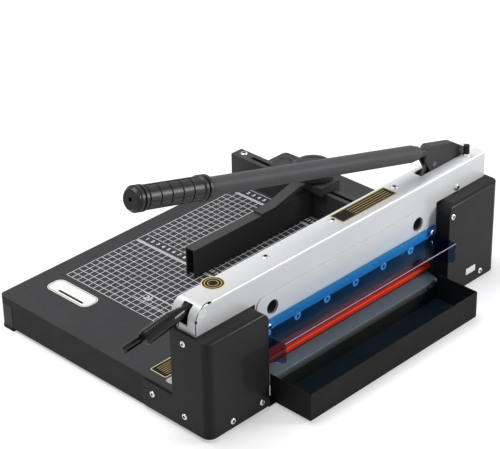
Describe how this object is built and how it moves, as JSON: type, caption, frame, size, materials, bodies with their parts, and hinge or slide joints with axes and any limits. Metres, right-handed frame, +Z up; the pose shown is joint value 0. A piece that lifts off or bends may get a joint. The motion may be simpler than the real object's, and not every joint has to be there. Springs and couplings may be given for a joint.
{
  "type": "stack paper cutter",
  "caption": "Desk guillotine for stacks of paper: printed table, beam between side covers, hand lever driving a blade, clamp handle, clear guard, offcut tray and sliding back gauge.",
  "frame": {"origin": "middle of the bounding box on the desk surface", "axes": "+X along the beam from the clamp handle to the lever pivot, +Y from the tray to the back of the table, +Z up"},
  "size_m": [0.6068, 0.432, 0.3435],
  "materials": {
    "table_paint": "satin dark grey paint with a printed grid",
    "black_paint": "satin black paint",
    "silver_paint": "silver metallic paint",
    "frame_iron": "plain casting",
    "leg_plastic": "black moulded plastic",
    "foot_rubber": "matte rubber",
    "screw_chrome": "polished plating",
    "pin_steel": "ground steel",
    "guide_steel": "plain steel",
    "blade_steel": "ground tool steel",
    "carrier_paint": "black oxide",
    "clamp_paint": "satin black paint",
    "stick_red": "red plastic",
    "chute_grey": "grey paint",
    "guard_blue": "see-through blue acrylic",
    "fence_metal": "satin dark grey paint",
    "gauge_metal": "satin dark grey paint",
    "lever_paint": "satin dark grey paint",
    "head_paint": "matte dark grey paint on a casting",
    "grip_rubber": "moulded black grip",
    "press_black": "black paint",
    "press_plastic": "black moulded plastic",
    "knob_plastic": "black moulded plastic"
  },
  "bodies": {
    "base": {"table": "table_paint", "rear_leg_left": "leg_plastic", "rear_leg_right": "leg_plastic", "rubber_feet": "foot_rubber", "left_frame": "frame_iron", "right_frame": "frame_iron", "left_cover": "black_paint", "right_cover": "black_paint", "cover_screws": "screw_chrome", "beam": "silver_paint", "beam_end_plate": "silver_paint", "beam_top_screws": "screw_chrome", "beam_front_screw": "screw_chrome", "lever_pivot_pin": "pin_steel", "stop_bolt": "screw_chrome", "stop_bumper": "foot_rubber", "left_guide": "guide_steel", "right_guide": "guide_steel", "bed_rail": "guide_steel", "cutting_stick": "stick_red", "bed_nose": "stick_red", "waste_chute": "chute_grey", "tray_runners": "black_paint", "guard": "guard_blue", "guard_screws": "screw_chrome", "side_fence": "fence_metal", "fence_screws": "screw_chrome", "press_pivot_pin": "pin_steel", "rocker_pin": "pin_steel"},
    "lever": {"lever_head": "head_paint", "lever_tube": "lever_paint", "lever_grip": "grip_rubber", "drive_pin": "pin_steel"},
    "carriage": {"blade_carrier": "carrier_paint", "blade": "blade_steel", "blade_screws": "screw_chrome", "guide_pins": "pin_steel", "drive_arm": "guide_steel", "arm_screws": "screw_chrome"},
    "press": {"press_lever": "press_black", "press_grip": "press_plastic", "press_roller": "pin_steel", "release_pin": "screw_chrome"},
    "release": {"release_lever": "press_plastic"},
    "rocker": {"clamp_rocker": "guide_steel"},
    "clamp": {"clamp_bar": "clamp_paint", "clamp_pad": "foot_rubber"},
    "gauge": {"gauge_bar": "gauge_metal", "gauge_bracket": "gauge_metal", "gauge_carriage": "gauge_metal", "gauge_nuts": "pin_steel"},
    "large_knob_body": {"large_knob": "knob_plastic"},
    "small_knob_body": {"small_knob": "knob_plastic"},
    "tray": {"waste_tray": "black_paint"}
  },
  "joints": [
    {"name": "lever_swing", "type": "hinge", "parent": "base", "child": "lever", "pos_m": [0.26977, -0.115, 0.157], "axis": [0, 1, 0], "range_deg": [-13, 34]},
    {"name": "blade_slide", "type": "slide", "parent": "base", "child": "carriage", "axis": [0.2588, 0, 0.9659], "range_m": [-0.01212, 0.03169]},
    {"name": "clamp_slide", "type": "slide", "parent": "base", "child": "clamp", "axis": [0, 0, 1], "range_m": [-0.03, 0], "stiffness_N_per_m": 300, "springref_m": 0.06},
    {"name": "press_handle", "type": "hinge", "parent": "base", "child": "press", "pos_m": [-0.20022, -0.119, 0.14], "axis": [0, 1, 0], "range_deg": [-33.05, 0.05]},
    {"name": "rocker_swing", "type": "hinge", "parent": "base", "child": "rocker", "pos_m": [-0.10622, -0.1067, 0.148], "axis": [0, 1, 0], "range_deg": [-0.05, 12.45]},
    {"name": "release_handle", "type": "hinge", "parent": "press", "child": "release", "pos_m": [-0.23222, -0.106, 0.15], "axis": [0, 1, 0], "range_deg": [0, 8], "stiffness_Nm_per_rad": 0.6, "springref_deg": -5.73},
    {"name": "gauge_slide", "type": "slide", "parent": "base", "child": "gauge", "axis": [0, 1, 0], "range_m": [-0.12, 0.05]},
    {"name": "large_knob_turn", "type": "hinge", "parent": "gauge", "child": "large_knob_body", "pos_m": [0.19978, 0.071, 0.11], "axis": [0, 0, 1], "range_deg": [-180, 180]},
    {"name": "small_knob_turn", "type": "hinge", "parent": "gauge", "child": "small_knob_body", "pos_m": [0.19978, 0.125, 0.096], "axis": [0, 0, 1], "range_deg": [-180, 180]},
    {"name": "tray_slide", "type": "slide", "parent": "base", "child": "tray", "axis": [0, -1, 0], "range_m": [0, 0.1]}
  ],
  "couplings": [
    {"joint": "blade_slide", "follows": "lever_swing", "m_per_rad": 0.053385},
    {"joint": "press_handle", "follows": "clamp_slide", "rad_per_m": 19.199},
    {"joint": "rocker_swing", "follows": "clamp_slide", "rad_per_m": -7.214}
  ]
}
